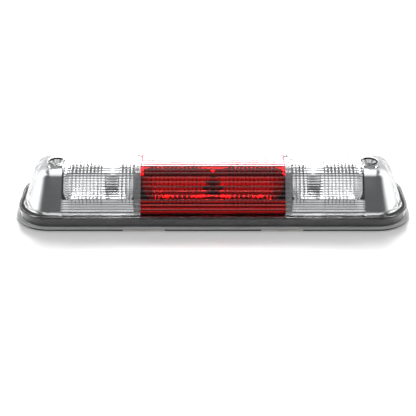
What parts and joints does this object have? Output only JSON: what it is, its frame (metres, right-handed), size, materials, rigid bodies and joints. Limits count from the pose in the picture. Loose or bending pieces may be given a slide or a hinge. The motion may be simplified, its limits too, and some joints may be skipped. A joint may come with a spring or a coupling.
{
  "type": "third brake light",
  "caption": "High-mounted rear lamp for a pickup cab, with a fluted red stop window between clear cargo windows, over a dark sealed housing with twist-lock bulb sockets.",
  "frame": {"origin": "centre of the mounting face, on the back of the foam gasket", "axes": "+X along the lamp's length, -Y towards the lower, sloping side of the lens, +Z out of the cab through the lens"},
  "size_m": [0.3906, 0.097, 0.0504],
  "materials": {
    "clear_lens": "clear moulded polycarbonate, polished, with moulded flutes",
    "red_lens": "transparent red moulded acrylic with pillow flutes",
    "seal_rubber": "black sealing rubber",
    "bright_plating": "vacuum-metallised plastic, mirror bright",
    "housing_plastic": "fine-grained dark grey moulded plastic",
    "divider_plastic": "blue-grey moulded plastic",
    "gasket_foam": "closed-cell black foam",
    "nylon": "natural nylon, slightly translucent",
    "zinc_steel": "zinc-plated steel",
    "socket_plastic": "heat-resistant moulded plastic",
    "socket_seal_rubber": "brick-red silicone",
    "contact_brass": "tinned stamped brass",
    "bulb_glass": "thin clear soda-lime glass",
    "lead_wire": "drawn nickel-plated wire",
    "tungsten": "coiled tungsten wire"
  },
  "bodies": {
    "lamp": {"outer_lens": "clear_lens", "stop_lens": "red_lens", "lens_seal": "seal_rubber", "chrome_bezel": "bright_plating", "stop_reflector": "bright_plating", "cargo_reflector_left": "bright_plating", "cargo_reflector_right": "bright_plating", "rear_housing": "housing_plastic", "mounting_gasket": "gasket_foam", "reflector_screws": "zinc_steel", "chamber_divider_left": "divider_plastic", "retaining_clip_left": "nylon", "screw_sleeve_left": "zinc_steel", "vent_cap_left": "seal_rubber", "chamber_divider_right": "divider_plastic", "retaining_clip_right": "nylon", "screw_sleeve_right": "zinc_steel", "vent_cap_right": "seal_rubber"},
    "stop_socket": {"stop_socket_body": "socket_plastic", "stop_socket_seal": "socket_seal_rubber", "stop_socket_contacts": "contact_brass", "stop_bulb_glass": "bulb_glass", "stop_bulb_leads": "lead_wire", "stop_bulb_filament": "tungsten"},
    "cargo_left_socket": {"cargo_left_socket_body": "socket_plastic", "cargo_left_socket_seal": "socket_seal_rubber", "cargo_left_socket_contacts": "contact_brass", "cargo_left_bulb_glass": "bulb_glass", "cargo_left_bulb_leads": "lead_wire", "cargo_left_bulb_filament": "tungsten"},
    "cargo_right_socket": {"cargo_right_socket_body": "socket_plastic", "cargo_right_socket_seal": "socket_seal_rubber", "cargo_right_socket_contacts": "contact_brass", "cargo_right_bulb_glass": "bulb_glass", "cargo_right_bulb_leads": "lead_wire", "cargo_right_bulb_filament": "tungsten"}
  },
  "joints": [
    {"name": "stop_socket_twist", "type": "hinge", "parent": "lamp", "child": "stop_socket", "pos_m": [0, -0.002, 0.0145], "axis": [0, 0, -1], "range_deg": [0, 45]},
    {"name": "cargo_left_socket_twist", "type": "hinge", "parent": "lamp", "child": "cargo_left_socket", "pos_m": [-0.1, -0.002, 0.0145], "axis": [0, 0, -1], "range_deg": [0, 45]},
    {"name": "cargo_right_socket_twist", "type": "hinge", "parent": "lamp", "child": "cargo_right_socket", "pos_m": [0.1, -0.002, 0.0145], "axis": [0, 0, -1], "range_deg": [0, 45]}
  ]
}
